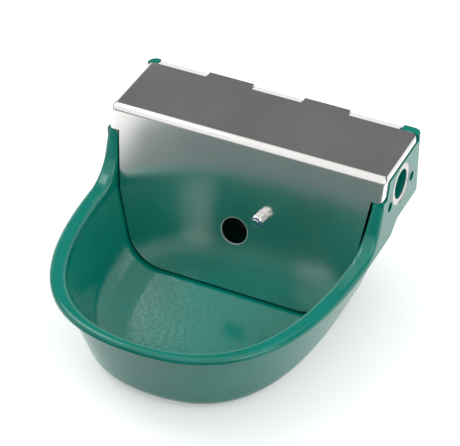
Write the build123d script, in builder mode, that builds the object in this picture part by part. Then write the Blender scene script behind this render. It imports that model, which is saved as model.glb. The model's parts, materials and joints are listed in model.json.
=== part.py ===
"""Cast-iron drinking bowl for livestock, with a float valve behind a bent stainless cover.

X runs to the right, Y towards the wall and Z up. The origin is on the wall face, midway
between the two wall bolts. Depths are measured down from the top of the cover.
"""

from build123d import *
from math import cos, radians, sin, tan
import os

os.makedirs("parts", exist_ok=True)

# ---------------------------------------------------------------- driving dimensions (mm)

# Overall casting
cover_top = 30.0            # top of the cover above the wall bolts
casting_half = 131.0        # half the width over the side walls
reach = 295.5               # wall face to the outside of the front rim
side_run = 100.0            # wall face to where the sides begin to curve
body_depth = 149.0          # top of the cover to the underside of the bowl
skirt_depth = 60.0          # lower edge of the flat back and sides
skirt_run = 52.0            # how far the sides stay at that depth
rim_depth = 64.5            # top of the rim
lip_height = 6.7            # thickness of the rolled lip under the rim
rim_width = 10.5            # width of the rim and of the arms
side_fullness = 0.585       # handles of the plan curve, as shares of its run
front_fullness = 0.81
back_corner = 8.0           # upright rear corners
skirt_inset = 4.8           # step from the skirt and lip in to the bowl wall
body_half_bottom = 101.0
body_front_bottom = 263.0
body_back_bottom = 32.0
body_corner_bottom = 45.0
body_round = 22.0           # outside round between wall and underside
floor_wall = 8.0
floor_round = 34.0          # inside round between wall and floor
back_wall = 7.3
top_wall = 7.7              # side wall at the top of the float chamber
low_wall = 7.5              # bowl wall at the floor
wall_knee = 74.0            # depth where the inner draft steepens
knee_wall = 15.4            # side wall at that depth, measured from the casting's side
knee_back = 14.5            # back wall at that depth, measured from the wall face
space_flare = 5.0           # extra reach of the space at the top, for draft
space_corner = 6.0
body_back_top = 2.3         # lower body's back, in from the wall face under the skirt
front_inset = 2.0           # lower body's front, in from the rim at the skirt's level
skirt_lap = 2.0
arm_lean = 20.5             # degrees the front edge of each arm leans forward
arm_round = 30.0            # hollow between arm and rim
rim_round = 4.0
lip_round = 2.2
stub_depth = 0.4            # top of the rear corners, just under the cover's top
skirt_blend = 18.0          # run over which the skirt drops to the lip
side_skin = 2.0             # bosses stop short of the outside by this

# Cover
sheet = 1.5
cover_inset = 1.0           # cover's side, in from the casting's
cover_reach = 81.2          # wall face to the sharp line of the front fold
cover_back = 8.4            # wall face to the bend line of the rear tabs
cover_lean = 14.5           # degrees the partition leans, foot forward
fold_radius = 9.0
side_radius = 4.5
upright_radius = 7.0
back_radius = 7.0
flange_depth = 6.0
wrap_depth = 22.0           # height of the front corners
wrap_return = 8.0
partition_gap = 1.5
floor_gap = 3.0
corner_hollow = 4.0         # between the flange's edge and the front corner
foot_radius = 38.0
seat_gap = 0.3              # between sheet and casting where they don't bear
rebate_width = 2.9          # casting cut back behind the cover's flange
seat_chamfer = 3.2          # on the casting's edges under the sheet's bends

# Rear tabs
tab_offset = 0.3            # middle tab, left of the middle of the recess
tab_room = 3.0              # recess beyond the outer tabs, both ends together
tab_width = 47.6
tab_count = 3
tab_bend = 13.0             # degrees
tab_length = 7.6
tab_slit = 0.8
tab_edge = 0.4              # flat tabs stop short of the wall face
left_stub = 9.0             # width of the rear corners that stand beside the cover
right_stub = 17.0

# Outlet and cover bolt
outlet_radius = 12.5
outlet_depth = 82.7
bolt_x = 23.8
bolt_depth = 63.0
bolt_radius = 4.0
bolt_play = 0.4
lug_width = 24.0
lug_back = 86.4             # wall face to the lug's upright back
lug_rise = 9.0              # lug above the bolt's axis
lug_relief = 6.0            # lug drawn back over the sheet's foot
washer_radius = 8.0
washer_thickness = 1.6
nut_flats = 13.0
plain_nut_height = 6.5
lock_nut_height = 6.3
ring_height = 2.4
ring_radius = 5.3
ring_sunk = 0.4             # nylon ring below the collar's edge
collar_wall = 0.8
bolt_end = 2.2              # thread that stands out of the lock nut
bolt_head_height = 5.3
bolt_head_edge = 1.0
sheet_hole_play = 0.3       # round the bolt in the sheet
thread_play = 0.05          # radial, nut on thread

# Side bores and wall holes
bore_radius = 13.5
bore_back = 47.0            # wall face to the bore's axis
bore_depth = 26.7
ring_face_radius = 19.0
ring_face_depth = 0.6
side_hole_radius = 4.6
side_hole_spread = 24.5     # each side of the bore's axis
side_hole_drop = 8.0
boss_radius = 22.0
boss_ear_radius = 11.0
boss_depth = 12.5           # inner face of the bosses, in from the casting's side
wall_hole_radius = 5.5
wall_hole_spacing = 160.0

# Float valve
gasket_thickness = 2.0
flange_thickness = 6.0
flange_radius = 19.0
flange_ear_radius = 9.0
spigot_play = 0.3
spigot_set_back = 0.6       # spigot's end, in from the machined face of the bore
valve_radius = 14.0
valve_length = 27.0
piston_run = 21.0           # length of the bore that the piston slides in
inlet_radius = 9.3
inlet_length = 15.0
inlet_edge = 1.0
waterway_radius = 5.0
piston_radius = 7.0
piston_play = 0.1
nozzle_radius = 6.0
nozzle_flange = 1.6
nozzle_length = 6.0
nozzle_lip = 1.0            # height of the raised seat
nozzle_lip_radius = 3.2
nozzle_lip_taper = 25.0
orifice_radius = 1.9
ring_thickness = 1.0        # sealing ring under the nozzle
seal_thickness = 3.0
seal_radius = 5.0
seal_proud = 0.4
seal_gap = 0.05
window_length = 8.0         # outlets in the valve's barrel
window_width = 9.0
window_angle = 38.0         # degrees each side of straight down
short_arm = 14.5            # lever pin to the nose that moves the piston
swing = 11.0                # degrees from hanging to closed
lever_nose = 3.0
nose_neck = 3.2
nose_play = 0.3
piston_wall = 3.0           # beyond the nose's slot
pin_radius = 2.5
pin_play = 0.05
pin_end = 2.4               # pin beyond each ear
clip_radius = 4.4
clip_thickness = 0.8
clip_gap = 0.1
ear_thickness = 4.0
ear_play = 0.35
ear_radius = 6.2
ear_top = 7.8               # top of the ears below the valve's axis
ear_foot = 13.4
ear_run = 7.0               # end of the barrel to the lever pin
lever_hub = 6.2
lever_thickness = 6.0
lever_drop = 43.0
lever_out = 24.0
lever_arm_width = 10.0
rod_radius = 3.0
rod_boss = 6.5
rod_boss_length = 16.0
rod_tail = 16.0             # rod beyond the middle of the boss, away from the float
rod_in_float = 15.0
rod_nut_flats = 10.0
rod_nut_height = 5.0
rod_nut_space = 6.0
float_start = 58.0
float_length = 92.0
float_height = 36.0
float_depth = 38.0
float_round = 10.0
float_shell = 2.0
float_rise = 8.0            # float's middle above the rod
float_shift = 10.0          # float's middle towards the partition from the lever
seam_width = 1.6
seam_height = 1.5
socket_length = 20.0
socket_wall = 3.0
screw_radius = 4.0
screw_play = 0.3
screw_head_radius = 7.0
screw_head_height = 4.4
nut_thickness = 6.5
screw_end = 2.0             # screw beyond its nut
key_flats = 5.0
key_depth = 2.6
adjuster_radius = 2.5
adjuster_gap = 2.5          # bare thread between knob and nut
adjuster_nut_flats = 8.0
adjuster_nut_height = 4.0
knob_radius = 6.5
knob_height = 6.0
knob_grooves = 12
knob_groove = 0.9

# ---------------------------------------------------------------- derived places


def level(depth):
    """Height of a place given by its depth below the top of the cover."""
    return cover_top - depth


def between(depth, top, bottom):
    """Value at a depth, on the line through two (depth, value) pairs."""
    share = (depth - top[0]) / (bottom[0] - top[0])
    return top[1] + share * (bottom[1] - top[1])


lip_depth = rim_depth + lip_height
floor_depth = body_depth - floor_wall
lean = radians(cover_lean)
swing_angle = radians(swing)
travel = short_arm * swing_angle
arm_head = cover_reach + tan(lean) * wrap_depth
arm_foot = arm_head + tan(radians(arm_lean)) * (rim_depth - wrap_depth)
notch_back = cover_reach + tan(lean) * flange_depth - wrap_return - seat_gap
boss_face = casting_half - boss_depth
cover_half = casting_half - cover_inset
land_start = left_stub - casting_half
land_end = casting_half - right_stub
tab_centre = (land_start + land_end) / 2 - tab_offset
tab_pitch = (land_end - land_start - tab_width - tab_room) / (tab_count - 1)
tab_places = [tab_centre + tab_pitch * (k - (tab_count - 1) / 2) for k in range(tab_count)]
side_hole_places = [(-side_hole_spread, -side_hole_drop), (side_hole_spread, -side_hole_drop)]

# Sections of the casting's space and of its lower body, each as
# (depth, half width, back, front, rear corner radius).
cavity_sections = [
    (0.0, casting_half - top_wall, back_wall, reach - rim_width + space_flare, space_corner),
    (wall_knee, casting_half - knee_wall, knee_back, reach - rim_width, space_corner),
    (floor_depth, body_half_bottom - low_wall, body_back_bottom + low_wall,
     body_front_bottom - low_wall, body_corner_bottom - low_wall),
]
body_sections = [
    (skirt_depth - skirt_lap, casting_half - skirt_inset, body_back_top,
     reach - front_inset, back_corner + skirt_lap),
    (body_depth, body_half_bottom, body_back_bottom, body_front_bottom, body_corner_bottom),
]


def sheet_back(depth):
    """Y of the casting's faces that stand behind the leaning sheet, at a depth."""
    return (sheet + seat_gap) / cos(lean) - cover_reach - tan(lean) * depth


def cavity_half(depth):
    """Half width of the space inside the casting at a depth."""
    upper, knee, foot = cavity_sections
    if depth < wall_knee:
        return between(depth, (upper[0], upper[1]), (knee[0], knee[1]))
    return between(depth, (knee[0], knee[1]), (foot[0], foot[1]))


def plan(depth, half, back, front, corner):
    """Outline of the casting at a depth: straight back, straight sides, full round front."""
    with BuildSketch(Plane.XY.offset(level(depth)), mode=Mode.PRIVATE) as outline:
        with BuildLine():
            run = front - side_run
            Line((0, -back), (half - corner, -back))
            JernArc((half - corner, -back), (1, 0), corner, -90)
            Line((half, -back - corner), (half, -side_run))
            Bezier(
                (half, -side_run),
                (half, -side_run - side_fullness * run),
                (front_fullness * half, -front),
                (0, -front),
            )
            mirror(about=Plane.YZ)
        make_face()
    return outline.sketch


def hexagon(flats):
    """Hexagon across the given flats, for heads and nuts."""
    return RegularPolygon(radius=flats / 2, side_count=6, major_radius=False)


def nut(plane, flats, height, bore):
    """Hexagon nut that stands on a plane, its corners turned off at both ends."""
    with BuildPart() as body:
        with BuildSketch(plane):
            Circle(flats * 0.56)
        extrude(amount=height)
        chamfer(body.edges().filter_by(GeomType.CIRCLE), length=flats * 0.04)
        with BuildSketch(plane):
            hexagon(flats)
        extrude(amount=height, mode=Mode.INTERSECT)
        with BuildSketch(plane):
            Circle(bore)
        extrude(amount=height, mode=Mode.SUBTRACT)
    return body.part


# The sheet's leaning face: x to the right, y up the sheet, z out of its front.
leaf = Plane(
    origin=(0, -cover_reach, cover_top),
    x_dir=(1, 0, 0),
    z_dir=(0, -cos(lean), sin(lean)),
)


def down(depth):
    """Place on the leaning face, measured along it, of a depth below the cover's top."""
    return -depth / cos(lean)


bolt_plane = leaf.shift_origin(leaf.from_local_coords((bolt_x, down(bolt_depth), 0)))


def tab_plane(place):
    """Plane of a bent tab: x along the bend, y down the tab, z out of its top."""
    bend = radians(tab_bend)
    return Plane(
        origin=(place, -cover_back, cover_top),
        x_dir=(1, 0, 0),
        z_dir=(0, sin(bend), cos(bend)),
    )


# The valve's axis runs from the left side wall into the float chamber.
valve_height = level(bore_depth)
gasket_face = -boss_face
flange_face = gasket_face + gasket_thickness
barrel_face = flange_face + flange_thickness
barrel_end = barrel_face + valve_length
seat_face = barrel_end - piston_run
spigot_end = -casting_half + ring_face_depth + spigot_set_back
pivot_x = barrel_end + ear_run
pivot_height = valve_height - short_arm
nose_x = pivot_x + travel
piston_end = nose_x + lever_nose + nose_play + piston_wall
seal_face = seat_face + ring_thickness + nozzle_flange + nozzle_lip + seal_gap + travel
piston_start = seal_face + seal_proud


def across(x):
    """Upright plane square to the valve's axis, facing into the float chamber."""
    return Plane(origin=(x, -bore_back, valve_height), x_dir=(0, 1, 0), z_dir=(1, 0, 0))


# The lever's own plane, drawn with the lever level and turned down by its swing.
lever_plane = Plane(
    origin=(pivot_x, -bore_back, pivot_height),
    x_dir=(cos(swing_angle), 0, -sin(swing_angle)),
    z_dir=(0, -1, 0),
)


def along_rod(x, rise=0.0, aside=0.0):
    """Plane square to the float's rod at a distance along the lever, facing the float."""
    return Plane(
        origin=lever_plane.from_local_coords((x, rise - lever_drop, aside)),
        x_dir=(0, -1, 0),
        z_dir=lever_plane.x_dir,
    )

# The clamping screw comes up from under the lever's boss.
adjuster_plane = Plane(
    origin=lever_plane.from_local_coords((lever_out, -lever_drop, 0)),
    x_dir=lever_plane.x_dir,
    z_dir=-lever_plane.y_dir,
)
adjuster_run = rod_boss + adjuster_nut_height + adjuster_gap

# ---------------------------------------------------------------- casting

with BuildPart() as bowl_space:
    loft([plan(*section) for section in cavity_sections[:2]], ruled=True)
    loft([plan(*section) for section in cavity_sections[1:]], ruled=True)
    foot = bowl_space.faces().sort_by(Axis.Z)[0]
    fillet(foot.edges(), radius=floor_round)
    top_face = bowl_space.faces().sort_by(Axis.Z)[-1]
    extrude(top_face, amount=sheet)

with BuildPart() as lower_bowl:
    loft([plan(*section) for section in body_sections], ruled=True)
    foot = lower_bowl.faces().sort_by(Axis.Z)[0]
    fillet(foot.edges(), radius=body_round)
    # In front of the skirt it starts inside the lip.
    with BuildSketch(Plane.XY.offset(level(lip_depth - skirt_lap))):
        with Locations((0, -skirt_run - skirt_blend - reach / 2)):
            Rectangle(2 * casting_half, reach)
    extrude(amount=lip_depth - skirt_depth, mode=Mode.SUBTRACT)
    add(bowl_space.part, mode=Mode.SUBTRACT)


def rim_edges(body):
    """Long edges of the faces that run down the arms and round the rim."""
    tops = body.faces().filter_by(
        lambda face: abs(face.normal_at().X) < 0.01
        and face.normal_at().Z > 0.2
        and face.center().Y < -cover_reach
        and level(rim_depth) - 1 < face.center().Z < level(wrap_depth + 2)
    )
    return tops.edges() - tops.edges().filter_by(Axis.X)


with BuildPart() as bowl_casting:
    block = plan(stub_depth, casting_half, 0, reach, back_corner)
    extrude(block, amount=-(lip_depth - stub_depth))
    # The arms lean forward from under the cover and sweep into the level rim.
    with BuildSketch(Plane.YZ) as over_rim:
        with BuildLine():
            Polyline(
                (-arm_head, level(-1)),
                (-arm_head, level(wrap_depth + seat_gap)),
                (-arm_foot, level(rim_depth)),
                (-reach - 1, level(rim_depth)),
                (-reach - 1, level(-1)),
                close=True,
            )
        make_face()
        hollow = over_rim.vertices().sort_by_distance((-arm_foot, level(rim_depth)))[0]
        fillet(hollow, radius=arm_round)
    extrude(amount=casting_half + 1, both=True, mode=Mode.SUBTRACT)
    fillet(rim_edges(bowl_casting), radius=rim_round)
    add(bowl_space.part, mode=Mode.SUBTRACT)
    inner = rim_edges(bowl_casting).filter_by(
        lambda edge: abs(edge.position_at(0.5).X) < casting_half - rim_width / 2
        and edge.position_at(0.5).Y > -reach + rim_width / 2
    )
    fillet(inner, radius=rim_round)
    # The flat back and sides end higher than the lip does.
    with BuildSketch(Plane.YZ):
        with BuildLine():
            Polyline(
                (1, level(skirt_depth)),
                (-skirt_run, level(skirt_depth)),
                (-skirt_run - skirt_blend, level(lip_depth + 1)),
                (1, level(lip_depth + 1)),
                close=True,
            )
        make_face()
    extrude(amount=casting_half + 1, both=True, mode=Mode.SUBTRACT)
    lip_edge = (
        bowl_casting.edges()
        .filter_by_position(Axis.Z, level(lip_depth) - 0.1, level(lip_depth) + 0.1)
        .sort_by(SortBy.LENGTH)[-1]
    )
    fillet(lip_edge, radius=lip_round)
    add(lower_bowl.part)
    # Inside of the side walls: a boss round each bore and its two holes.
    for side in (-1, 1):
        wall_plane = Plane(
            origin=(side * boss_face, -bore_back, valve_height),
            x_dir=(0, side, 0),
            z_dir=(side, 0, 0),
        )
        with BuildSketch(wall_plane):
            Circle(boss_radius)
            with Locations(*side_hole_places):
                Circle(boss_ear_radius)
            make_hull()
        extrude(amount=casting_half - boss_face - side_skin)
    # Open-topped lug behind the partition, which the cover's bolt drops into. Its front
    # leans with the sheet and its back is upright.
    with BuildSketch(Plane.YZ.offset(bolt_x)):
        with BuildLine():
            Polyline(
                (-lug_back, level(bolt_depth - lug_rise)),
                (-lug_back, level(floor_depth + floor_wall / 2)),
                (sheet_back(floor_depth) + lug_relief, level(floor_depth + floor_wall / 2)),
                (sheet_back(floor_depth) + lug_relief, level(floor_depth - lug_relief)),
                (sheet_back(floor_depth - 2 * lug_relief), level(floor_depth - 2 * lug_relief)),
                (sheet_back(bolt_depth - lug_rise), level(bolt_depth - lug_rise)),
                close=True,
            )
        make_face()
    extrude(amount=lug_width / 2, both=True)
    with BuildSketch(bolt_plane):
        Circle(bolt_radius + bolt_play)
        with Locations((0, lug_rise)):
            Rectangle(2 * (bolt_radius + bolt_play), 2 * lug_rise)
    extrude(amount=-2 * lug_width, mode=Mode.SUBTRACT)
    # Front of the side walls, cut back to stand behind the leaning sheet.
    with BuildSketch(leaf.offset(-sheet - seat_gap)):
        with Locations((0, down(wrap_depth + seat_gap) + wrap_depth)):
            Rectangle(2 * casting_half + 2, 2 * wrap_depth)
    extrude(amount=2 * wrap_depth, mode=Mode.SUBTRACT)
    # Rebate for the cover's flange along each side, rounded off behind its rear corner.
    for side in (-1, 1):
        with BuildSketch(Plane.XY.offset(level(-1))):
            with Locations((side * casting_half, -cover_back - cover_reach / 2)):
                Rectangle(2 * rebate_width, cover_reach)
        extrude(amount=-(flange_depth + seat_gap + 1), mode=Mode.SUBTRACT)
        with BuildSketch(Plane.YZ.offset(side * (casting_half - rebate_width))):
            with BuildLine():
                Polyline(
                    (-notch_back, level(flange_depth + seat_gap)),
                    (-notch_back - tan(lean) * (wrap_depth - flange_depth),
                     level(wrap_depth + seat_gap)),
                    (-cover_reach - wrap_depth, level(wrap_depth + seat_gap)),
                    (-cover_reach - wrap_depth, level(flange_depth - 1)),
                    (-notch_back, level(flange_depth - 1)),
                    close=True,
                )
            make_face()
        extrude(amount=side * (rebate_width + 1), mode=Mode.SUBTRACT)
    # Seat for the top plate: walls level with its underside, stubs left at the rear corners.
    with BuildSketch(Plane.XY.offset(level(sheet))):
        with Locations((0, -cover_back - cover_reach)):
            Rectangle(2 * casting_half + 2, 2 * cover_reach)
    extrude(amount=sheet + 1, mode=Mode.SUBTRACT)
    with BuildSketch(Plane.XY.offset(level(sheet))):
        with Locations(((land_start + land_end) / 2, -cover_back / 2)):
            Rectangle(land_end - land_start, cover_back + 1)
    extrude(amount=sheet + 1, mode=Mode.SUBTRACT)
    under_bends = bowl_casting.edges().filter_by(
        lambda edge: abs(abs(edge.position_at(0.5).X) - casting_half + rebate_width) < 0.01
        and (
            abs(edge.position_at(0.5).Z - level(sheet)) < 0.01
            or abs(leaf.to_local_coords(edge.position_at(0.5)).Z + sheet + seat_gap) < 0.01
        )
    )
    chamfer(under_bends, length=seat_chamfer)
    # Recesses in the top of the back wall for the bent tabs.
    for place in tab_places:
        with BuildSketch(tab_plane(place).offset(-sheet - seat_gap)):
            with Locations((0, tab_length)):
                Rectangle(tab_width + 2 * tab_slit, 2 * tab_length)
        extrude(amount=2 * sheet, mode=Mode.SUBTRACT)
    # Bores, their machined faces and the screw holes beside them.
    for side in (-1, 1):
        outside = Plane(
            origin=(side * casting_half, -bore_back, valve_height),
            x_dir=(0, side, 0),
            z_dir=(side, 0, 0),
        )
        with BuildSketch(outside):
            Circle(ring_face_radius)
        extrude(amount=-ring_face_depth, mode=Mode.SUBTRACT)
        with BuildSketch(outside):
            Circle(bore_radius)
            with Locations(*side_hole_places):
                Circle(side_hole_radius)
        extrude(amount=-2 * (casting_half - boss_face), mode=Mode.SUBTRACT)
    with BuildSketch(Plane.XZ):
        with GridLocations(wall_hole_spacing, 0, 2, 1):
            Circle(wall_hole_radius)
    extrude(amount=2 * back_wall, mode=Mode.SUBTRACT)

bowl_casting.part.label = "bowl_casting"
export_step(bowl_casting.part, "parts/bowl_casting.step")

# ---------------------------------------------------------------- cover


def cover_form(inset):
    """Space inside the cover's outline: fold along the front, rolled sides and corners."""
    with BuildPart() as form:
        with BuildSketch(Plane.YZ):
            front = -cover_reach + inset * (1 / cos(lean) - tan(lean))
            depth = wrap_depth + 2 * inset
            with BuildLine():
                Polyline(
                    (cover_reach, level(inset)),
                    (front, level(inset)),
                    (front - tan(lean) * (depth - inset), level(depth)),
                    (cover_reach, level(depth)),
                    close=True,
                )
            corner = make_face().vertices().sort_by_distance((0, front, level(inset)))[0]
            fillet(corner, radius=fold_radius - inset)
        extrude(amount=cover_half - inset, both=True)
        sides = form.faces().filter_by(Axis.X).edges()
        rolled = sides.filter_by(
            lambda edge: edge.position_at(0.5).Z > level(depth) + inset / 2 + 1
            and edge.position_at(0.5).Y < cover_reach - 1
        )
        fillet(rolled, radius=side_radius - inset)
    return form.part


with BuildPart() as cover:
    add(cover_form(0))
    add(cover_form(sheet), mode=Mode.SUBTRACT)
    # Flange along each side, deeper at the front corner.
    with BuildSketch(Plane.YZ) as under_flange:
        with BuildLine():
            Polyline(
                (cover_reach + 1, level(flange_depth)),
                (-notch_back - seat_gap, level(flange_depth)),
                (-notch_back - seat_gap - tan(lean) * (wrap_depth - flange_depth),
                 level(wrap_depth)),
                (-notch_back - seat_gap - tan(lean) * wrap_depth, level(wrap_depth + 1)),
                (cover_reach + 1, level(wrap_depth + 1)),
                close=True,
            )
        make_face()
        inner_corner = under_flange.vertices().sort_by_distance(
            (0, -notch_back - seat_gap, level(flange_depth))
        )[0]
        fillet(inner_corner, radius=corner_hollow)
    extrude(amount=cover_half + 1, both=True, mode=Mode.SUBTRACT)
    # Rear edge, rounded at the corners in plan.
    with BuildSketch(Plane.XY.offset(level(-1))):
        with Locations((0, -cover_back - cover_reach)):
            RectangleRounded(2 * cover_half, 2 * cover_reach, back_radius)
    extrude(amount=-2 * wrap_depth, mode=Mode.INTERSECT)
    # Partition that reaches down into the bowl.
    with BuildSketch(leaf) as partition:
        top_half = cavity_half(wrap_depth) - partition_gap
        knee_half = cavity_half(wall_knee) - partition_gap
        foot_depth = floor_depth - floor_gap
        foot_half = cavity_half(foot_depth) - partition_gap
        with BuildLine():
            Polyline(
                (-top_half, down(wrap_depth - sheet)),
                (top_half, down(wrap_depth - sheet)),
                (knee_half, down(wall_knee)),
                (foot_half, down(foot_depth)),
                (-foot_half, down(foot_depth)),
                (-knee_half, down(wall_knee)),
                close=True,
            )
        make_face()
        fillet(partition.vertices().sort_by(Axis.Y)[:2], radius=foot_radius)
    extrude(amount=-sheet)
    # Tabs bent down over the back wall, and flat ones between them.
    for place in tab_places:
        with BuildSketch(tab_plane(place)):
            with Locations((0, tab_length / 2)):
                Rectangle(tab_width, tab_length)
        extrude(amount=-sheet)
    with BuildSketch(Plane.XY.offset(cover_top)):
        for place in tab_places[1:]:
            with Locations((place - tab_pitch / 2, -cover_back - sheet)):
                Rectangle(
                    tab_pitch - tab_width - 2 * tab_slit,
                    cover_back + sheet - tab_edge,
                    align=(Align.CENTER, Align.MIN),
                )
    extrude(amount=-sheet)
    with BuildSketch(leaf):
        with Locations((0, down(outlet_depth))):
            Circle(outlet_radius)
        with Locations((bolt_x, down(bolt_depth))):
            Circle(bolt_radius + sheet_hole_play)
    extrude(amount=-2 * sheet, mode=Mode.SUBTRACT)

cover.part.label = "cover"
export_step(cover.part, "parts/cover.step")

# ---------------------------------------------------------------- cover bolt and its nuts

washer_top = washer_thickness
plain_top = washer_top + plain_nut_height
lock_top = plain_top + lock_nut_height
ring_top = lock_top + ring_height
bolt_grip = (cover_reach + tan(lean) * bolt_depth - lug_back) / cos(lean)
head_back = bolt_grip + bolt_head_height + tan(lean) * nut_flats / 2
bolt_axis = Axis(bolt_plane.origin, bolt_plane.z_dir)

with BuildPart() as cover_bolt:
    # Square head whose face is tapered to bear on the lug's upright back.
    with BuildSketch(bolt_plane.offset(-head_back)):
        Rectangle(nut_flats, nut_flats)
    extrude(amount=head_back)
    chamfer(cover_bolt.faces().sort_by(bolt_axis)[0].edges(), length=bolt_head_edge)
    with BuildSketch(Plane.XZ.offset(lug_back)):
        with Locations((bolt_x, level(bolt_depth))):
            Rectangle(4 * nut_flats, 4 * nut_flats)
    extrude(amount=2 * nut_flats, mode=Mode.SUBTRACT)
    with BuildSketch(bolt_plane.offset(-head_back + bolt_head_edge)):
        Circle(bolt_radius)
    extrude(amount=head_back - bolt_head_edge + ring_top + bolt_end)
    tip = cover_bolt.faces().sort_by(bolt_axis)[-1]
    chamfer(tip.edges(), length=bolt_head_edge / 2)

cover_bolt.part.label = "cover_bolt"
export_step(cover_bolt.part, "parts/cover_bolt.step")

with BuildPart() as cover_washer:
    with BuildSketch(bolt_plane):
        Circle(washer_radius)
        Circle(bolt_radius + sheet_hole_play, mode=Mode.SUBTRACT)
    extrude(amount=washer_thickness)

cover_washer.part.label = "cover_washer"
export_step(cover_washer.part, "parts/cover_washer.step")

with BuildPart() as cover_plain_nut:
    add(nut(bolt_plane.offset(washer_top), nut_flats, plain_nut_height, bolt_radius))

cover_plain_nut.part.label = "cover_plain_nut"
export_step(cover_plain_nut.part, "parts/cover_plain_nut.step")

with BuildPart() as cover_lock_nut:
    add(nut(bolt_plane.offset(plain_top), nut_flats, lock_nut_height, bolt_radius + thread_play))
    # Collar that holds the nylon ring, rolled in over its edge.
    with BuildSketch(bolt_plane.offset(lock_top)):
        Circle(ring_radius + collar_wall)
        Circle(bolt_radius + thread_play, mode=Mode.SUBTRACT)
    extrude(amount=ring_height)
    collar_edge = cover_lock_nut.edges().filter_by(GeomType.CIRCLE).group_by(bolt_axis)[-1]
    fillet(collar_edge.sort_by(SortBy.RADIUS)[-1], radius=collar_wall)
    with BuildSketch(bolt_plane.offset(lock_top)):
        Circle(ring_radius)
    extrude(amount=ring_height, mode=Mode.SUBTRACT)

cover_lock_nut.part.label = "cover_lock_nut"
export_step(cover_lock_nut.part, "parts/cover_lock_nut.step")

with BuildPart() as lock_nut_ring:
    with BuildSketch(bolt_plane.offset(lock_top)):
        Circle(ring_radius)
        Circle(bolt_radius + thread_play, mode=Mode.SUBTRACT)
    extrude(amount=ring_height - ring_sunk)
    fillet(lock_nut_ring.edges().group_by(bolt_axis)[-1], radius=ring_sunk)

lock_nut_ring.part.label = "lock_nut_ring"
export_step(lock_nut_ring.part, "parts/lock_nut_ring.step")

# ---------------------------------------------------------------- valve


def flange_outline():
    """Round flange with an ear at each of the two screws."""
    with BuildSketch(mode=Mode.PRIVATE) as outline:
        Circle(flange_radius)
        with Locations(*side_hole_places):
            Circle(flange_ear_radius)
        make_hull()
    return outline.sketch


with BuildPart() as valve_gasket:
    with BuildSketch(across(gasket_face)):
        add(flange_outline())
        Circle(bore_radius, mode=Mode.SUBTRACT)
        with Locations(*side_hole_places):
            Circle(side_hole_radius, mode=Mode.SUBTRACT)
    extrude(amount=gasket_thickness)

valve_gasket.part.label = "valve_gasket"
export_step(valve_gasket.part, "parts/valve_gasket.step")

with BuildPart() as valve_body:
    with BuildSketch(across(flange_face)):
        add(flange_outline())
    extrude(amount=flange_thickness)
    with BuildSketch(across(spigot_end)):
        Circle(bore_radius - spigot_play)
    extrude(amount=flange_face - spigot_end)
    with BuildSketch(across(barrel_face)):
        Circle(valve_radius)
    extrude(amount=valve_length)
    # Forked ears that carry the lever pin below the barrel's mouth.
    for side in (-1, 1):
        inner_face = lever_thickness / 2 + ear_play
        with BuildSketch(Plane.XZ.offset(bore_back + side * inner_face)):
            with Locations((pivot_x, pivot_height)):
                Circle(ear_radius)
            with Locations((barrel_end - ear_thickness / 2, valve_height)):
                with Locations((0, -(ear_top + ear_foot) / 2)):
                    Rectangle(ear_thickness, ear_foot - ear_top)
            make_hull()
        extrude(amount=side * ear_thickness)
    # Water's way from the inlet to the piston.
    with BuildSketch(across(spigot_end)):
        Circle(inlet_radius)
    extrude(amount=inlet_length, mode=Mode.SUBTRACT)
    with BuildSketch(across(spigot_end)):
        Circle(waterway_radius)
    extrude(amount=seat_face - spigot_end, mode=Mode.SUBTRACT)
    with BuildSketch(across(seat_face - nozzle_length)):
        Circle(nozzle_radius)
    extrude(amount=nozzle_length, mode=Mode.SUBTRACT)
    with BuildSketch(across(seat_face)):
        Circle(piston_radius + piston_play)
    extrude(amount=piston_run, mode=Mode.SUBTRACT)
    # Outlets low on both sides of the barrel, beside the nozzle's lip.
    for turn in (-window_angle, window_angle):
        outlet = Plane(
            origin=across(seat_face + ring_thickness + window_length / 2).origin,
            x_dir=(1, 0, 0),
            z_dir=(0, sin(radians(turn)), -cos(radians(turn))),
        )
        with BuildSketch(outlet):
            RectangleRounded(window_length, window_width / 2, window_width / 4.01)
        extrude(amount=2 * valve_radius, mode=Mode.SUBTRACT)
    with BuildSketch(across(flange_face)):
        with Locations(*side_hole_places):
            Circle(screw_radius + screw_play)
    extrude(amount=flange_thickness, mode=Mode.SUBTRACT)
    with BuildSketch(Plane.XZ.offset(bore_back)):
        with Locations((pivot_x, pivot_height)):
            Circle(pin_radius)
    extrude(amount=2 * lever_thickness + ear_thickness, both=True, mode=Mode.SUBTRACT)
    mouth = valve_body.edges().filter_by(GeomType.CIRCLE).group_by(Axis.X)[0]
    chamfer(mouth.sort_by(SortBy.RADIUS)[0], length=inlet_edge)

valve_body.part.label = "valve_body"
export_step(valve_body.part, "parts/valve_body.step")

with BuildPart() as nozzle_ring:
    with BuildSketch(across(seat_face)):
        Circle(piston_radius)
        Circle(nozzle_radius, mode=Mode.SUBTRACT)
    extrude(amount=ring_thickness)

nozzle_ring.part.label = "nozzle_ring"
export_step(nozzle_ring.part, "parts/nozzle_ring.step")

with BuildPart() as valve_nozzle:
    with BuildSketch(across(seat_face - nozzle_length)):
        Circle(nozzle_radius)
    extrude(amount=nozzle_length + ring_thickness)
    with BuildSketch(across(seat_face + ring_thickness)):
        Circle(piston_radius)
    extrude(amount=nozzle_flange)
    with BuildSketch(across(seat_face + ring_thickness + nozzle_flange)):
        Circle(nozzle_lip_radius)
    extrude(amount=nozzle_lip, taper=nozzle_lip_taper)
    with BuildSketch(across(seat_face - nozzle_length)):
        Circle(orifice_radius)
    extrude(amount=2 * nozzle_length, mode=Mode.SUBTRACT)

valve_nozzle.part.label = "valve_nozzle"
export_step(valve_nozzle.part, "parts/valve_nozzle.step")

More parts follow.
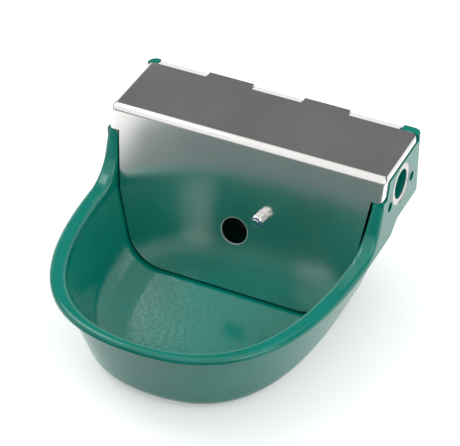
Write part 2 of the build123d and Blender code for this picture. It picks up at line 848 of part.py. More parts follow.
with BuildPart() as valve_piston:
    with BuildSketch(across(piston_start)):
        Circle(piston_radius)
    extrude(amount=piston_end - piston_start)
    chamfer(valve_piston.edges().group_by(Axis.X)[-1], length=piston_play * 5)
    with BuildSketch(across(piston_start)):
        Circle(seal_radius)
    extrude(amount=seal_thickness - seal_proud, mode=Mode.SUBTRACT)
    # Slot that the lever's nose works in.
    with BuildSketch(Plane.XY.offset(valve_height)):
        with Locations((nose_x, -bore_back)):
            Rectangle(2 * (lever_nose + nose_play), lever_thickness + 2 * ear_play)
    extrude(amount=piston_radius + 1, both=True, mode=Mode.SUBTRACT)

valve_piston.part.label = "valve_piston"
export_step(valve_piston.part, "parts/valve_piston.step")

with BuildPart() as piston_seal:
    with BuildSketch(across(seal_face)):
        Circle(seal_radius)
    extrude(amount=seal_thickness)
    fillet(piston_seal.edges().group_by(Axis.X)[0], radius=seal_proud / 2)

piston_seal.part.label = "piston_seal"
export_step(piston_seal.part, "parts/piston_seal.step")

with BuildPart() as valve_screws:
    with BuildSketch(across(-casting_half)):
        with Locations(*side_hole_places):
            Circle(screw_head_radius)
    extrude(amount=-screw_head_height)
    fillet(valve_screws.edges().group_by(Axis.X)[0], radius=screw_head_height - 0.9)
    with BuildSketch(across(-casting_half)):
        with Locations(*side_hole_places):
            Circle(screw_radius)
    extrude(amount=casting_half + barrel_face + nut_thickness + screw_end)
    chamfer(valve_screws.edges().group_by(Axis.X)[-1], length=bolt_head_edge / 2)
    with BuildSketch(across(-casting_half - screw_head_height)):
        with Locations(*side_hole_places):
            hexagon(key_flats)
    extrude(amount=key_depth, mode=Mode.SUBTRACT)

valve_screws.part.label = "valve_screws"
export_step(valve_screws.part, "parts/valve_screws.step")

with BuildPart() as valve_screw_nuts:
    for place in side_hole_places:
        seat = across(barrel_face)
        add(nut(seat.shift_origin(seat.from_local_coords(place)), nut_flats, nut_thickness,
                screw_radius))

valve_screw_nuts.part.label = "valve_screw_nuts"
export_step(valve_screw_nuts.part, "parts/valve_screw_nuts.step")

# ---------------------------------------------------------------- lever and float

with BuildPart() as float_lever:
    with BuildSketch(lever_plane):
        Circle(lever_arm_width / 2)
        with Locations((lever_out, -lever_drop)):
            Circle(rod_boss)
        make_hull()
        Circle(lever_hub)
        with Locations((0, short_arm / 2)):
            Rectangle(nose_neck, short_arm)
        with Locations((0, short_arm)):
            Circle(lever_nose)
    extrude(amount=lever_thickness / 2, both=True)
    with BuildSketch(along_rod(lever_out)):
        Circle(rod_boss)
    extrude(amount=rod_boss_length / 2, both=True)
    with BuildSketch(along_rod(lever_out)):
        Circle(rod_radius)
    extrude(amount=rod_boss_length, both=True, mode=Mode.SUBTRACT)
    with BuildSketch(lever_plane):
        Circle(pin_radius + pin_play)
    extrude(amount=lever_thickness, both=True, mode=Mode.SUBTRACT)
    # Threaded hole for the screw that clamps the rod.
    with BuildSketch(adjuster_plane):
        Circle(adjuster_radius)
    extrude(amount=2 * rod_boss, mode=Mode.SUBTRACT)

float_lever.part.label = "float_lever"
export_step(float_lever.part, "parts/float_lever.step")

ear_outside = lever_thickness / 2 + ear_play + ear_thickness
pin_plane = Plane(
    origin=(pivot_x, -bore_back, pivot_height), x_dir=(1, 0, 0), z_dir=(0, -1, 0)
)

with BuildPart() as lever_pin:
    with BuildSketch(pin_plane):
        Circle(pin_radius)
    extrude(amount=ear_outside + pin_end, both=True)
    chamfer(lever_pin.edges().filter_by(GeomType.CIRCLE), length=pin_radius / 6)

lever_pin.part.label = "lever_pin"
export_step(lever_pin.part, "parts/lever_pin.step")

with BuildPart() as lever_pin_clips:
    for side in (-1, 1):
        with BuildSketch(pin_plane.offset(side * (ear_outside + clip_gap))):
            Circle(clip_radius)
            Circle(pin_radius, mode=Mode.SUBTRACT)
            with Locations((0, clip_radius)):
                Rectangle(pin_radius, 2 * clip_radius, mode=Mode.SUBTRACT)
        extrude(amount=side * clip_thickness)

lever_pin_clips.part.label = "lever_pin_clips"
export_step(lever_pin_clips.part, "parts/lever_pin_clips.step")

with BuildPart() as float_rod:
    with BuildSketch(along_rod(lever_out - rod_tail)):
        Circle(rod_radius)
    extrude(amount=float_start + rod_in_float - lever_out + rod_tail)
    chamfer(float_rod.edges().filter_by(GeomType.CIRCLE), length=rod_radius / 6)

float_rod.part.label = "float_rod"
export_step(float_rod.part, "parts/float_rod.step")

with BuildPart() as rod_nuts:
    add(nut(along_rod(float_start - rod_nut_height), rod_nut_flats, rod_nut_height, rod_radius))
    add(nut(along_rod(float_start - 2 * rod_nut_height - rod_nut_space), rod_nut_flats,
            rod_nut_height, rod_radius))

rod_nuts.part.label = "rod_nuts"
export_step(rod_nuts.part, "parts/rod_nuts.step")


def float_form(inset):
    """Rounded block of the float, drawn in from its outside by an inset."""
    middle = along_rod(float_start + inset, float_rise, float_shift)
    with BuildPart() as form:
        with BuildSketch(middle):
            Rectangle(float_depth - 2 * inset, float_height - 2 * inset)
        extrude(amount=float_length - 2 * inset)
        fillet(form.edges(), radius=float_round - inset)
    return form.part


def float_half(side):
    """One half of the hollow float, above (1) or below (-1) the weld."""
    with BuildPart() as half:
        add(float_form(0))
        with BuildSketch(seam_plane):
            RectangleRounded(
                float_length + 2 * seam_width, float_depth + 2 * seam_width,
                float_round + seam_width,
            )
        extrude(amount=seam_height / 2, both=True)
        if side < 0:
            add(float_form(float_shell), mode=Mode.SUBTRACT)
            with BuildSketch(along_rod(float_start + float_shell / 2)):
                Circle(rod_radius + socket_wall)
            extrude(amount=socket_length)
            with BuildSketch(along_rod(float_start)):
                Circle(rod_radius)
            extrude(amount=rod_in_float, mode=Mode.SUBTRACT)
        else:
            add(float_form(float_shell), mode=Mode.SUBTRACT)
        with BuildSketch(seam_plane):
            Rectangle(2 * float_length, 2 * float_depth)
        extrude(amount=side * 2 * float_height, mode=Mode.INTERSECT)
    return half.part


seam_plane = Plane(
    origin=lever_plane.from_local_coords(
        (float_start + float_length / 2, float_rise - lever_drop, float_shift)
    ),
    x_dir=lever_plane.x_dir,
    z_dir=lever_plane.y_dir,
)

with BuildPart() as float_upper_shell:
    add(float_half(1))

float_upper_shell.part.label = "float_upper_shell"
export_step(float_upper_shell.part, "parts/float_upper_shell.step")

with BuildPart() as float_lower_shell:
    add(float_half(-1))

float_lower_shell.part.label = "float_lower_shell"
export_step(float_lower_shell.part, "parts/float_lower_shell.step")

with BuildPart() as adjusting_screw:
    knob_start = adjuster_run
    with BuildSketch(adjuster_plane.offset(rod_radius)):
        Circle(adjuster_radius)
    extrude(amount=knob_start - rod_radius)
    with BuildSketch(adjuster_plane.offset(knob_start)):
        Circle(knob_radius)
        with PolarLocations(knob_radius, knob_grooves):
            Circle(knob_groove, mode=Mode.SUBTRACT)
    extrude(amount=knob_height)

adjusting_screw.part.label = "adjusting_screw"
export_step(adjusting_screw.part, "parts/adjusting_screw.step")

with BuildPart() as adjusting_nut:
    add(nut(adjuster_plane.offset(rod_boss), adjuster_nut_flats, adjuster_nut_height,
            adjuster_radius))

adjusting_nut.part.label = "adjusting_nut"
export_step(adjusting_nut.part, "parts/adjusting_nut.step")
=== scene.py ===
"""Cast-iron drinking bowl with a stainless cover: finishes, fine detail and a plain studio."""

import json
from math import asin, atan2, cos, hypot, pi, radians, sin, tan

import bmesh
import bpy
from mathutils import Matrix, Vector


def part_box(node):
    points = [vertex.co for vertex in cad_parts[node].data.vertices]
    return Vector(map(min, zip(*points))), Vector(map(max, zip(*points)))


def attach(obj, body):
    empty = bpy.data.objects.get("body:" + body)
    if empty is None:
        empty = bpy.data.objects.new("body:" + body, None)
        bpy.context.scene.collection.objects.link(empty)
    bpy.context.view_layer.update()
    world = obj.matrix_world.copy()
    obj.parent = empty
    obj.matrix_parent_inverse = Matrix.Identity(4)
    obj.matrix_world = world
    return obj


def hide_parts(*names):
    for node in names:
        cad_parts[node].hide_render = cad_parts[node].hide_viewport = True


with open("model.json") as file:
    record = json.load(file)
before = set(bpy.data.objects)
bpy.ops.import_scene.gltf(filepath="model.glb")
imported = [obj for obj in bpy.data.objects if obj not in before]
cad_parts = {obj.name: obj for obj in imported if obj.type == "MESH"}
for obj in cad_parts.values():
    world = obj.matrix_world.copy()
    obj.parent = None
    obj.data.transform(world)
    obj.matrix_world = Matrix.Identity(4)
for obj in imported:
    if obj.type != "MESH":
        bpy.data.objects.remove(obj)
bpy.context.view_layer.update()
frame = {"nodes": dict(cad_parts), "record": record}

# ---------------------------------------------------------------- sizes (m) taken from the frame

casting_low, casting_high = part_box("bowl_casting")
floor_height = casting_low.z
cover_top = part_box("cover")[1].z
side_bore = {m["name"]: m for m in frame["record"]["mounts"]}["side_bore"]
bore_axis = Vector(side_bore["pos_m"])
bodies = frame["record"]["behaviour"]["bodies"]
carrier = {node: body for body, nodes in bodies.items() for node in nodes}
nut_turn = {j["name"]: j for j in frame["record"]["behaviour"]["joints"]}["lock_nut_turn"]
bolt_origin = Vector(nut_turn["pos_m"])
bolt_axis = Vector(nut_turn["axis"]).normalized()
lean = asin(bolt_axis.z)    # the partition leans, foot forward, and the bolt is square to it
fold_front = bolt_origin.y + tan(lean) * (cover_top - bolt_origin.z)

# ---------------------------------------------------------------- sizes (m) of what is added

weld_distance = 0.0000005
crease = radians(28.0)      # edges that bend more than this stay sharp
machined_radius = 0.01905   # bare ring round each side bore
machined_band = 0.0016      # how far in from the casting's side it reaches
fold_radius = 0.0078        # the casting's corner ends just under the outside of this bend
fold_steps = 10
tab_bend_line = -0.0084     # Y at which the rear tabs bend down
bend_tolerance = 0.00005
partition_drop = 0.024      # below the cover's top, from where the partition is drawn in
partition_share = 0.993     # of its packed width, so that the joint round it shows
outlet_radius = 0.0125
outlet_drop = 0.0827        # outlet's axis below the cover's top
cut_edge = 0.0004           # bright band of the sheared edge
nut_flats = 0.010
packed_nut_flats = 0.013
bolt_scale = nut_flats / packed_nut_flats
nut_gap = 0.00002           # keeps the lock nut's face off the plain nut's
thread_radius = 0.003
thread_pitch = 0.0009
thread_ridge = 0.00016
thread_length = 0.0014
bolt_point = 0.0004         # bare end of the bolt beyond its thread


# ---------------------------------------------------------------- node helpers


def add_node(tree, kind, inputs=None, **settings):
    """Adds a node; an input given as a socket is linked, any other is set."""
    new = tree.nodes.new(kind)
    for name, value in settings.items():
        setattr(new, name, value)
    for name, value in (inputs or {}).items():
        socket = new.inputs[name]
        if isinstance(value, bpy.types.NodeSocket):
            tree.links.new(value, socket)
        else:
            socket.default_value = value
    return new


def maths(tree, operation, first, second=0.0, third=0.0):
    """Output of a Math node on two or three numbers or sockets."""
    made = add_node(tree, "ShaderNodeMath", {0: first, 1: second, 2: third}, operation=operation)
    return made.outputs[0]


def ramp(tree, value, low, high):
    """Smooth 0 to 1 as value goes from low to high."""
    made = add_node(
        tree,
        "ShaderNodeMapRange",
        {"Value": value, "From Min": low, "From Max": high},
        interpolation_type="SMOOTHSTEP",
    )
    return made.outputs["Result"]


def blend_colours(tree, share, first, second):
    """Colour between two, by a share from 0 to 1."""
    made = add_node(
        tree, "ShaderNodeMix", {0: share, 6: first, 7: second}, data_type="RGBA"
    )
    return made.outputs[2]


def new_group(name, numbers, outputs):
    """Shader node group with float inputs, from a dict of defaults, and named outputs."""
    group = bpy.data.node_groups.new(name, "ShaderNodeTree")
    for label, value in numbers.items():
        made = group.interface.new_socket(label, in_out="INPUT", socket_type="NodeSocketFloat")
        made.default_value = value
    for label in outputs:
        group.interface.new_socket(label, in_out="OUTPUT", socket_type="NodeSocketFloat")
    return group, group.nodes.new("NodeGroupInput"), group.nodes.new("NodeGroupOutput")


def place(tree, group, **values):
    """Puts a group into a material with its own values."""
    made = tree.nodes.new("ShaderNodeGroup")
    made.node_tree = group
    for label, value in values.items():
        made.inputs[label.replace("_", " ")].default_value = value
    return made


def noise(tree, vector, scale, detail=2.0, roughness=0.5):
    """Grey noise on a vector."""
    made = add_node(
        tree,
        "ShaderNodeTexNoise",
        {"Vector": vector, "Scale": scale, "Detail": detail, "Roughness": roughness},
    )
    return made.outputs["Fac"]


def object_place(tree):
    """Object coordinates of the shaded point."""
    return tree.nodes.new("ShaderNodeTexCoord").outputs["Object"]


# ---------------------------------------------------------------- shared effects


def make_orange_peel():
    """Ripple of a dipped enamel coat: broad waves with a finer grain on them."""
    group, given, out = new_group(
        "orange_peel", {"Wave size": 0.004, "Grain share": 0.3}, ["Height", "Patches"]
    )
    point = object_place(group)
    scale = maths(group, "DIVIDE", 1.0, given.outputs["Wave size"])
    waves = noise(group, point, scale, 1.0)
    grain = noise(group, point, maths(group, "MULTIPLY", scale, 3.1), 2.0)
    height = maths(group, "MULTIPLY_ADD", grain, given.outputs["Grain share"], waves)
    patches = noise(group, point, maths(group, "MULTIPLY", scale, 0.05), 3.0)
    group.links.new(height, out.inputs["Height"])
    group.links.new(patches, out.inputs["Patches"])
    return group


def make_brushed_grain():
    """Long fine lines of a rolled or brushed sheet, and cloudy patches of handling."""
    group, given, out = new_group(
        "brushed_grain",
        {"Line width": 0.0003, "Line length": 0.03, "Cloud size": 0.05},
        ["Lines", "Clouds"],
    )
    point = object_place(group)
    across = maths(group, "DIVIDE", 1.0, given.outputs["Line width"])
    along = maths(group, "DIVIDE", 1.0, given.outputs["Line length"])
    stretch = add_node(group, "ShaderNodeCombineXYZ", {0: along, 1: across, 2: across})
    scaled = add_node(
        group, "ShaderNodeVectorMath", {0: point, 1: stretch.outputs[0]}, operation="MULTIPLY"
    )
    lines = noise(group, scaled.outputs[0], 1.0, 3.0, 0.7)
    clouds = noise(group, point, maths(group, "DIVIDE", 1.0, given.outputs["Cloud size"]), 4.0)
    group.links.new(lines, out.inputs["Lines"])
    group.links.new(clouds, out.inputs["Clouds"])
    return group


orange_peel = make_orange_peel()
brushed_grain = make_brushed_grain()


# ---------------------------------------------------------------- materials


def new_material(name):
    """Material with its node tree and Principled shader."""
    material = bpy.data.materials.new(name)
    material.use_nodes = True
    tree = material.node_tree
    return material, tree, tree.nodes["Principled BSDF"]


def bump(tree, height, distance, strength=1.0):
    """Normal made from a height in units of the distance (m)."""
    made = add_node(
        tree, "ShaderNodeBump", {"Height": height, "Distance": distance, "Strength": strength}
    )
    return made.outputs["Normal"]


def machined_mask(tree):
    """1 on the bare machined rings round the side bores."""
    point = object_place(tree)
    offset = add_node(
        tree,
        "ShaderNodeVectorMath",
        {0: point, 1: (0.0, bore_axis.y, bore_axis.z)},
        operation="SUBTRACT",
    )
    parts = add_node(tree, "ShaderNodeSeparateXYZ", {0: offset.outputs[0]})
    flat = add_node(tree, "ShaderNodeCombineXYZ", {1: parts.outputs[1], 2: parts.outputs[2]})
    away = add_node(tree, "ShaderNodeVectorMath", {0: flat.outputs[0]}, operation="LENGTH")
    inside = maths(tree, "LESS_THAN", away.outputs["Value"], machined_radius)
    side = maths(tree, "ABSOLUTE", parts.outputs[0])
    outer = maths(tree, "GREATER_THAN", side, casting_high.x - machined_band)
    return maths(tree, "MULTIPLY", inside, outer)


def make_enamel():
    """Glossy green enamel on cast iron, bare where the bore faces were machined."""
    thick_green, thin_green = (0.0, 0.156, 0.116, 1.0), (0.0, 0.182, 0.140, 1.0)
    bare_iron = (0.62, 0.62, 0.60, 1.0)
    ripple_depth = 0.00017
    material, tree, shader = new_material("green_enamel")
    peel = place(tree, orange_peel, Wave_size=0.0042, Grain_share=0.25)
    bare = machined_mask(tree)
    green = blend_colours(
        tree,
        ramp(tree, peel.outputs["Patches"], 0.35, 0.65),
        thick_green,
        thin_green,
    )
    colour = blend_colours(tree, bare, green, bare_iron)
    tree.links.new(colour, shader.inputs["Base Color"])
    tree.links.new(bare, shader.inputs["Metallic"])
    rough = maths(tree, "MULTIPLY_ADD", peel.outputs["Patches"], 0.10, 0.10)
    tree.links.new(maths(tree, "MULTIPLY_ADD", bare, 0.25, rough), shader.inputs["Roughness"])
    tree.links.new(bump(tree, peel.outputs["Height"], ripple_depth), shader.inputs["Normal"])
    return material


def outlet_edge(tree):
    """1 on the sheared edge of the sheet round the outlet."""
    centre = (0.0, fold_front - tan(lean) * outlet_drop, cover_top - outlet_drop)
    point = object_place(tree)
    offset = add_node(
        tree, "ShaderNodeVectorMath", {0: point, 1: centre}, operation="SUBTRACT"
    )
    along = add_node(
        tree,
        "ShaderNodeVectorMath",
        {0: offset.outputs[0], 1: (0.0, -cos(lean), sin(lean))},
        operation="CROSS_PRODUCT",
    )
    away = add_node(tree, "ShaderNodeVectorMath", {0: along.outputs[0]}, operation="LENGTH")
    return maths(tree, "LESS_THAN", away.outputs["Value"], outlet_radius + cut_edge)


def make_metal(name, colour, roughness, line_width, line_depth, line_length=0.03, sheared=False):
    """Bare metal with fine brushed lines and faint clouds in its gloss."""
    cloud_gloss, line_gloss, sheared_gloss = 0.12, 0.08, 0.45
    material, tree, shader = new_material(name)
    grain = place(tree, brushed_grain, Line_width=line_width, Line_length=line_length)
    shader.inputs["Metallic"].default_value = 1.0
    darker = tuple(0.93 * c for c in colour)
    shade = maths(tree, "MULTIPLY", grain.outputs["Lines"], 0.5)
    shade = maths(tree, "MULTIPLY_ADD", grain.outputs["Clouds"], 0.5, shade)
    tree.links.new(
        blend_colours(tree, shade, (*darker, 1.0), (*colour, 1.0)), shader.inputs["Base Color"]
    )
    smoothest = roughness - cloud_gloss / 2
    uneven = maths(tree, "MULTIPLY_ADD", grain.outputs["Clouds"], cloud_gloss, smoothest)
    uneven = maths(tree, "MULTIPLY_ADD", grain.outputs["Lines"], line_gloss, uneven)
    if sheared:
        uneven = maths(tree, "MULTIPLY_ADD", outlet_edge(tree), sheared_gloss, uneven)
    tree.links.new(uneven, shader.inputs["Roughness"])
    tree.links.new(bump(tree, grain.outputs["Lines"], line_depth), shader.inputs["Normal"])
    return material


def make_moulded(name, colour, roughness):
    """Moulded plastic or rubber with a fine grain and slight shade changes."""
    wave, depth = 0.0008, 0.00002
    material, tree, shader = new_material(name)
    peel = place(tree, orange_peel, Wave_size=wave, Grain_share=0.5)
    darker = tuple(0.86 * c for c in colour)
    tree.links.new(
        blend_colours(tree, peel.outputs["Patches"], (*darker, 1.0), (*colour, 1.0)),
        shader.inputs["Base Color"],
    )
    tree.links.new(
        maths(tree, "MULTIPLY_ADD", peel.outputs["Patches"], 0.2, roughness - 0.1),
        shader.inputs["Roughness"],
    )
    tree.links.new(bump(tree, peel.outputs["Height"], depth), shader.inputs["Normal"])
    return material


finishes = {
    "enamel": make_enamel(),
    "stainless_sheet": make_metal(
        "rolled_stainless", (0.88, 0.87, 0.85), 0.13, 0.00022, 0.0000015, sheared=True
    ),
    "zinc_steel": make_metal("bright_zinc", (0.82, 0.82, 0.80), 0.16, 0.0004, 0.000003, 0.004),
    "stainless_parts": make_metal("turned_stainless", (0.72, 0.72, 0.70), 0.25, 0.0003, 0.000004),
    "blue_nylon": make_moulded("blue_nylon", (0.02, 0.12, 0.42), 0.4),
    "brass": make_metal("machined_brass", (0.78, 0.56, 0.26), 0.25, 0.0003, 0.000004),
    "rubber": make_moulded("black_rubber", (0.02, 0.02, 0.021), 0.6),
    "dark_plastic": make_moulded("dark_plastic", (0.027, 0.027, 0.029), 0.5),
    "white_plastic": make_moulded("white_acetal", (0.74, 0.74, 0.70), 0.45),
}


def dress_frame():
    """Gives each node of the frame the finish of its slot."""
    slots = {s["node"]: s["material_slot"] for s in frame["record"]["subparts"]}
    for name, piece in frame["nodes"].items():
        piece.data.materials.clear()
        piece.data.materials.append(finishes[slots[name]])


dress_frame()

# ---------------------------------------------------------------- pieces


def copy_of(node, name):
    """Welded working copy of a node's mesh."""
    source = frame["nodes"][node]
    work = bmesh.new()
    work.from_mesh(source.data)
    work.transform(source.matrix_world)
    bmesh.ops.remove_doubles(work, verts=work.verts, dist=weld_distance)
    return work, bpy.data.meshes.new(name)


def show_instead(work, mesh, node, finish, bend_line=None):
    """Shows a worked mesh in place of its node, sharp along a bend line if one is given."""
    bmesh.ops.recalc_face_normals(work, faces=work.faces)
    work.to_mesh(mesh)
    work.free()
    mesh.materials.append(finish)
    mesh.shade_smooth()
    mesh.set_sharp_from_angle(angle=crease)
    if bend_line is not None:
        for edge in mesh.edges:
            ends = [mesh.vertices[index].co.y for index in edge.vertices]
            if max(abs(end - bend_line) for end in ends) < bend_tolerance:
                edge.use_edge_sharp = True
    piece = bpy.data.objects.new(mesh.name, mesh)
    bpy.context.scene.collection.objects.link(piece)
    # Flat faces keep their own normal right up to the bends beside them.
    level = piece.modifiers.new("level", "WEIGHTED_NORMAL")
    level.weight = 100
    level.keep_sharp = True
    graph = bpy.context.evaluated_depsgraph_get()
    piece.data = bpy.data.meshes.new_from_object(piece.evaluated_get(graph))
    piece.modifiers.clear()
    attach(piece, carrier[node])
    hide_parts(node)


def folded_cover():
    """Cover whose front fold is a bend instead of a sharp line.

    Points between the two normals from the bend's centre are drawn in along their own
    radius, which turns the outside into an arc and keeps the sheet's thickness.
    """
    work, mesh = copy_of("cover", "folded_cover")
    setback = fold_radius * (1 - sin(lean)) / cos(lean)
    centre = Vector((0.0, fold_front + setback, cover_top - fold_radius))
    start, end = pi / 2, pi - lean
    for step in range(fold_steps + 1):
        turn = start + (end - start) * step / fold_steps
        bmesh.ops.bisect_plane(
            work,
            geom=work.verts[:] + work.edges[:] + work.faces[:],
            plane_co=centre,
            plane_no=(0.0, -sin(turn), cos(turn)),
            dist=weld_distance,
        )
    for vert in work.verts:
        y, z = vert.co.y - centre.y, vert.co.z - centre.z
        turn = atan2(z, y)
        if start < turn < end:
            reach = hypot(y, z) * cos(min(turn - start, end - turn))
            vert.co.y = centre.y + reach * cos(turn)
            vert.co.z = centre.z + reach * sin(turn)
        if cover_top - vert.co.z > partition_drop:
            vert.co.x *= partition_share
    show_instead(work, mesh, "cover", finishes["stainless_sheet"], bend_line=tab_bend_line)


def smaller_bolt_set():
    """Bolt, washer and nuts at their own size, drawn in about the nut's turning axis."""
    shrink = (
        Matrix.Translation(bolt_origin)
        @ Matrix.Scale(bolt_scale, 4)
        @ Matrix.Translation(-bolt_origin)
    )
    off_the_nut = Matrix.Translation(nut_gap * bolt_axis)
    for node in ("cover_bolt", "cover_washer", "cover_plain_nut", "cover_lock_nut"):
        work, mesh = copy_of(node, "fitted_" + node)
        work.transform(shrink)
        if carrier[node] == "lock_nut":
            work.transform(off_the_nut)
        show_instead(work, mesh, node, finishes["zinc_steel"])
    work, mesh = copy_of("lock_nut_ring", "fitted_lock_nut_ring")
    work.transform(off_the_nut @ shrink)
    show_instead(work, mesh, "lock_nut_ring", finishes["blue_nylon"])


def make_thread_group():
    """Helical ridge up a round bar: a three-sided profile swept along a spiral."""
    group = bpy.data.node_groups.new("thread_ridge", "GeometryNodeTree")
    for label in ("Radius", "Pitch", "Length", "Ridge"):
        group.interface.new_socket(label, in_out="INPUT", socket_type="NodeSocketFloat")
    group.interface.new_socket("Finish", in_out="INPUT", socket_type="NodeSocketMaterial")
    group.interface.new_socket("Geometry", in_out="OUTPUT", socket_type="NodeSocketGeometry")
    given = group.nodes.new("NodeGroupInput")
    out = group.nodes.new("NodeGroupOutput")
    turns = maths(group, "DIVIDE", given.outputs["Length"], given.outputs["Pitch"])
    spiral = add_node(
        group,
        "GeometryNodeCurveSpiral",
        {
            "Resolution": 32,
            "Rotations": turns,
            "Start Radius": given.outputs["Radius"],
            "End Radius": given.outputs["Radius"],
            "Height": given.outputs["Length"],
        },
    )
    profile = add_node(
        group,
        "GeometryNodeCurvePrimitiveCircle",
        {"Resolution": 3, "Radius": given.outputs["Ridge"]},
    )
    swept = add_node(
        group,
        "GeometryNodeCurveToMesh",
        {
            "Curve": spiral.outputs[0],
            "Profile Curve": profile.outputs[0],
            "Fill Caps": True,
        },
    )
    real = add_node(
        group, "GeometryNodeRealizeInstances", {"Geometry": swept.outputs[0]}
    )
    finished = add_node(
        group,
        "GeometryNodeSetMaterial",
        {"Geometry": real.outputs[0], "Material": given.outputs["Finish"]},
    )
    group.links.new(finished.outputs[0], out.inputs["Geometry"])
    return group


def add_thread(group, name, node, base, finish):
    """Thread ridge along the bolt's axis, from a base point, on the body of a node."""
    holder = bpy.data.objects.new(name, bpy.data.meshes.new(name))
    bpy.context.scene.collection.objects.link(holder)
    made = holder.modifiers.new("thread", "NODES")
    made.node_group = group
    sockets = {i.name: i.identifier for i in group.interface.items_tree if i.in_out == "INPUT"}
    for label, value in (
        ("Radius", thread_radius),
        ("Pitch", thread_pitch),
        ("Length", thread_length),
        ("Ridge", thread_ridge),
        ("Finish", finish),
    ):
        made[sockets[label]] = value
    graph = bpy.context.evaluated_depsgraph_get()
    mesh = bpy.data.meshes.new_from_object(holder.evaluated_get(graph))
    holder.modifiers.clear()
    turn = bolt_axis.to_track_quat("Z", "Y").to_matrix().to_4x4()
    mesh.transform(Matrix.Translation(base) @ turn)
    work = bmesh.new()
    work.from_mesh(mesh)
    bmesh.ops.recalc_face_normals(work, faces=work.faces)
    work.to_mesh(mesh)
    work.free()
    holder.data = mesh
    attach(holder, carrier[node])


def bolt_reach():
    """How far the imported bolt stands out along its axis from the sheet."""
    points = frame["nodes"]["cover_bolt"].data.vertices
    return max((point.co - bolt_origin).dot(bolt_axis) for point in points)


folded_cover()
smaller_bolt_set()
thread_start = bolt_scale * bolt_reach() - thread_length - bolt_point
add_thread(
    make_thread_group(),
    "bolt_thread",
    "cover_bolt",
    bolt_origin + thread_start * bolt_axis,
    finishes["zinc_steel"],
)

# ---------------------------------------------------------------- studio


def make_floor():
    """Pale floor that keeps the shadow and shows white to the camera."""
    width, glow = 12.0, 0.30
    bpy.ops.mesh.primitive_plane_add(size=width, location=(0, 0, floor_height))
    floor = bpy.context.object
    floor.name = "studio_floor"
    material, tree, shader = new_material("pale_floor")
    shader.inputs["Base Color"].default_value = (0.82, 0.82, 0.82, 1.0)
    shader.inputs["Roughness"].default_value = 0.9
    shader.inputs["Specular IOR Level"].default_value = 0.0
    shader.inputs["Emission Color"].default_value = (1.0, 1.0, 1.0, 1.0)
    path = tree.nodes.new("ShaderNodeLightPath")
    seen = maths(tree, "MAXIMUM", path.outputs["Is Camera Ray"], path.outputs["Is Glossy Ray"])
    tree.links.new(maths(tree, "MULTIPLY", seen, glow), shader.inputs["Emission Strength"])
    floor.data.materials.append(material)


def make_card():
    """Sloping grey board in front, out of the picture, that the leaning sheet reflects."""
    left, right = -0.27, 1.0
    floor_room = 0.001
    near, far = (-0.38, floor_height + floor_room), (-0.80, 0.20)
    mesh = bpy.data.meshes.new("studio_card")
    corners = [(left, *near), (right, *near), (right, *far), (left, *far)]
    mesh.from_pydata(corners, [], [(0, 1, 2, 3)])
    card = bpy.data.objects.new("studio_card", mesh)
    bpy.context.scene.collection.objects.link(card)
    material, _, shader = new_material("grey_card")
    shader.inputs["Base Color"].default_value = (0.12, 0.16, 0.16, 1.0)
    shader.inputs["Roughness"].default_value = 0.9
    mesh.materials.append(material)


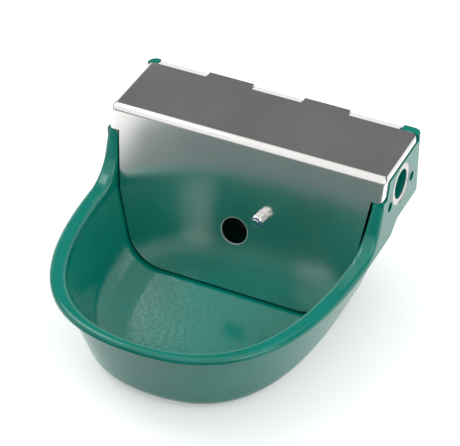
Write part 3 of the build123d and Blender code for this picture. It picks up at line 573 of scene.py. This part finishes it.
def make_world():
    """White surroundings; reflections see a dim room.

    It is bright overhead, in front above the horizon and low behind, and a little lighter
    low on the left.
    """
    dim, lit, side_light = 0.15, 0.85, 0.2
    world = bpy.data.worlds.new("studio")
    bpy.context.scene.world = world
    world.use_nodes = True
    tree = world.node_tree
    path = tree.nodes.new("ShaderNodeLightPath")
    way = tree.nodes.new("ShaderNodeTexCoord").outputs["Generated"]
    parts = add_node(tree, "ShaderNodeSeparateXYZ", {0: way})
    x, y, z = parts.outputs
    bright = ramp(tree, z, sin(radians(50)), sin(radians(63)))
    front = maths(tree, "MULTIPLY", ramp(tree, z, 0.10, 0.40), ramp(tree, y, 0.05, -0.25))
    bright = maths(tree, "MAXIMUM", bright, front)
    behind = maths(tree, "MULTIPLY", ramp(tree, y, 0.3, 0.6), ramp(tree, z, 0.50, 0.38))
    bright = maths(tree, "MAXIMUM", bright, behind)
    left = maths(tree, "MULTIPLY", ramp(tree, x, -0.2, -0.6), ramp(tree, y, 0.2, -0.3))
    left = maths(tree, "MULTIPLY", left, ramp(tree, z, 0.55, 0.2))
    mirrored = maths(tree, "MULTIPLY_ADD", bright, lit, dim)
    mirrored = maths(tree, "MULTIPLY_ADD", left, side_light, mirrored)
    gloss = path.outputs["Is Glossy Ray"]
    plain = maths(tree, "SUBTRACT", 1.0, gloss)
    strength = maths(tree, "MULTIPLY_ADD", gloss, mirrored, plain)
    background = tree.nodes["Background"]
    background.inputs["Color"].default_value = (1.0, 1.0, 1.0, 1.0)
    tree.links.new(strength, background.inputs["Strength"])


def add_softbox(name, place_at, look_at, size, power):
    """Square soft lamp aimed at a point."""
    lamp = bpy.data.lights.new(name, "AREA")
    lamp.size = size
    lamp.energy = power
    piece = bpy.data.objects.new(name, lamp)
    piece.location = place_at
    piece.rotation_euler = (Vector(look_at) - Vector(place_at)).to_track_quat("-Z", "Y").to_euler()
    bpy.context.scene.collection.objects.link(piece)


def make_camera():
    """Camera at the height and side that the bowl is seen from."""
    azimuth, elevation = radians(25.57), radians(38.29)
    distance = 1.7628
    lens, sensor_width = 162.1, 36.0    # mm
    bowl_middle = Vector((0.0, -0.1384, -0.030))
    shift_right, shift_up = 0.0118, 0.0090
    back = Vector((sin(azimuth) * cos(elevation), -cos(azimuth) * cos(elevation), sin(elevation)))
    right = Vector((cos(azimuth), sin(azimuth), 0.0))
    up = back.cross(right)
    aim = bowl_middle + shift_right * right + shift_up * up
    camera = bpy.data.objects.new("camera", bpy.data.cameras.new("camera"))
    camera.data.lens = lens
    camera.data.sensor_width = sensor_width
    camera.location = aim + distance * back
    camera.rotation_euler = (-back).to_track_quat("-Z", "Y").to_euler()
    bpy.context.scene.collection.objects.link(camera)
    bpy.context.scene.camera = camera


make_floor()
make_card()
make_world()
lamp_target = (0, -0.15, -0.05)
add_softbox("key_softbox", (-1.1, -0.2, 1.3), lamp_target, size=0.9, power=9.0)
add_softbox("fill_softbox", (1.3, -0.6, 0.9), lamp_target, size=1.0, power=6.0)
make_camera()
bpy.context.scene.view_settings.view_transform = "Standard"
